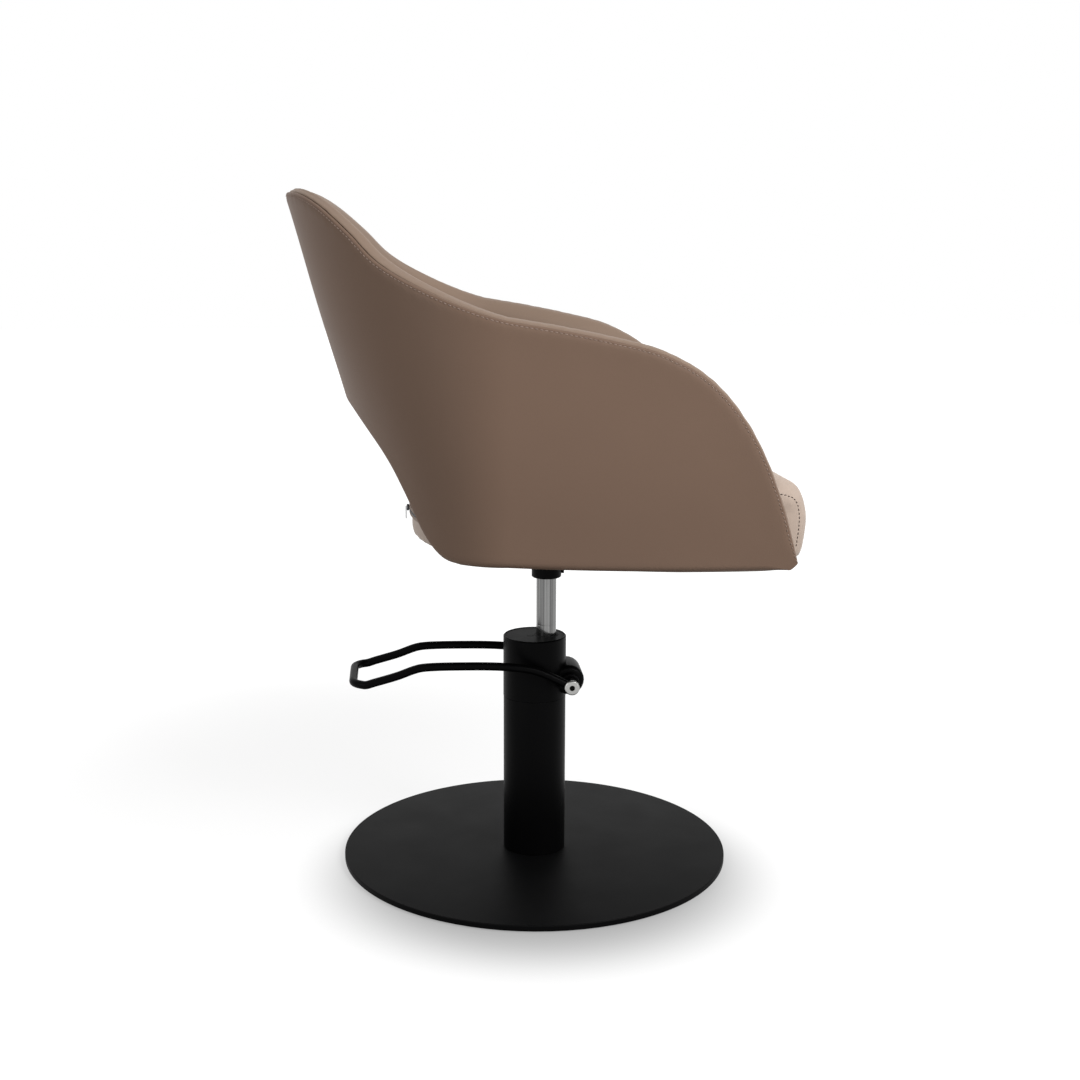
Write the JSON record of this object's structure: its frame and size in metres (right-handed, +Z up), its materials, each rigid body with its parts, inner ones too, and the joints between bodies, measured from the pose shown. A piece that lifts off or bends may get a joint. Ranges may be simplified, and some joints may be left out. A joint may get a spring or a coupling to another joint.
{
  "type": "hairdressing chair",
  "caption": "Salon chair: a padded tub seat with low arms and an open arch at the lower back, on a hydraulic column with a foot lever and a round steel floor plate.",
  "frame": {"origin": "centre of the round base on the floor", "axes": "+Z up, +X the way the sitter faces, +Y to the sitter's left"},
  "size_m": [0.6714, 0.5696, 0.9435],
  "materials": {
    "black_coat": "black satin powder coat",
    "black_steel": "blackened steel",
    "bright_steel": "bright zinc",
    "ground_steel": "ground and polished",
    "cast_alloy": "as cast",
    "bronze": "turned bearing bronze",
    "black_rubber": "matt",
    "plywood": "bare plywood",
    "dust_cloth": "black lining cloth",
    "outer_vinyl": "taupe upholstery vinyl, fine grain",
    "inner_vinyl": "taupe upholstery vinyl over foam",
    "seat_vinyl": "beige upholstery vinyl over foam",
    "zip_tape": "woven tape",
    "zip_metal": "dark plated metal"
  },
  "bodies": {
    "base": {"floor_mat": "black_rubber", "base_plate": "black_coat", "base_bolt_1": "bright_steel", "base_bolt_2": "bright_steel", "base_bolt_3": "bright_steel", "base_bolt_4": "bright_steel", "pump_foot": "black_steel", "column_tube": "black_coat", "valve_block": "cast_alloy", "pump_head": "black_coat", "pump_cap": "black_steel", "filler_screw": "black_steel", "guide_bush": "bronze", "rod_wiper": "black_rubber", "ram_cylinder": "ground_steel", "pump_barrel": "cast_alloy", "axle_bush_near": "black_steel", "axle_bush_far": "black_steel"},
    "piston": {"piston_head": "ground_steel", "piston_seal": "black_rubber"},
    "seat": {"ram_rod": "ground_steel", "seat_socket": "black_coat", "socket_screw": "black_steel", "seat_plate": "black_coat", "plate_bolt_1": "bright_steel", "plate_bolt_2": "bright_steel", "plate_bolt_3": "bright_steel", "plate_bolt_4": "bright_steel", "seat_board": "plywood", "dust_cover": "dust_cloth", "frame_bracket_1": "bright_steel", "frame_bracket_2": "bright_steel", "frame_bracket_3": "bright_steel", "frame_bracket_4": "bright_steel", "bracket_screw_1": "bright_steel", "bracket_screw_2": "bright_steel", "bracket_screw_3": "bright_steel", "bracket_screw_4": "bright_steel", "outer_cover": "outer_vinyl", "tub_frame": "plywood", "inner_pad": "inner_vinyl", "seat_cushion": "seat_vinyl", "cushion_zip": "zip_tape"},
    "lever": {"lever_axle": "ground_steel", "rocker_fork": "ground_steel", "lever_bar": "black_coat", "lever_hub_near": "black_coat", "lever_hub_far": "black_coat", "lever_bolt_near": "bright_steel", "lever_bolt_far": "bright_steel"},
    "plunger": {"pump_plunger": "ground_steel", "plunger_spring": "ground_steel"},
    "zip": {"zip_slider": "zip_metal", "zip_pull": "zip_metal"}
  },
  "joints": [
    {"name": "ram_lift", "type": "slide", "parent": "base", "child": "piston", "axis": [0, 0, 1], "range_m": [-0.08, 0.07]},
    {"name": "seat_swivel", "type": "hinge", "parent": "piston", "child": "seat", "pos_m": [0.0164, 0, 0.4102], "axis": [0, 0, 1], "continuous": true},
    {"name": "foot_lever", "type": "hinge", "parent": "base", "child": "lever", "pos_m": [0.047, 0, 0.2652], "axis": [0, -1, 0], "range_deg": [0, 24], "stiffness_Nm_per_rad": 6, "springref_deg": -20.05},
    {"name": "plunger_stroke", "type": "slide", "parent": "base", "child": "plunger", "axis": [0, 0, -1], "range_m": [0, 0.03], "deforming": ["plunger_spring"]},
    {"name": "zip_slide", "type": "hinge", "parent": "seat", "child": "zip", "pos_m": [0.15353, 0, 0.5121], "axis": [0, 0, 1], "range_deg": [-14, 14]}
  ],
  "couplings": [
    {"joint": "plunger_stroke", "follows": "foot_lever", "m_per_rad": 0.0658}
  ]
}
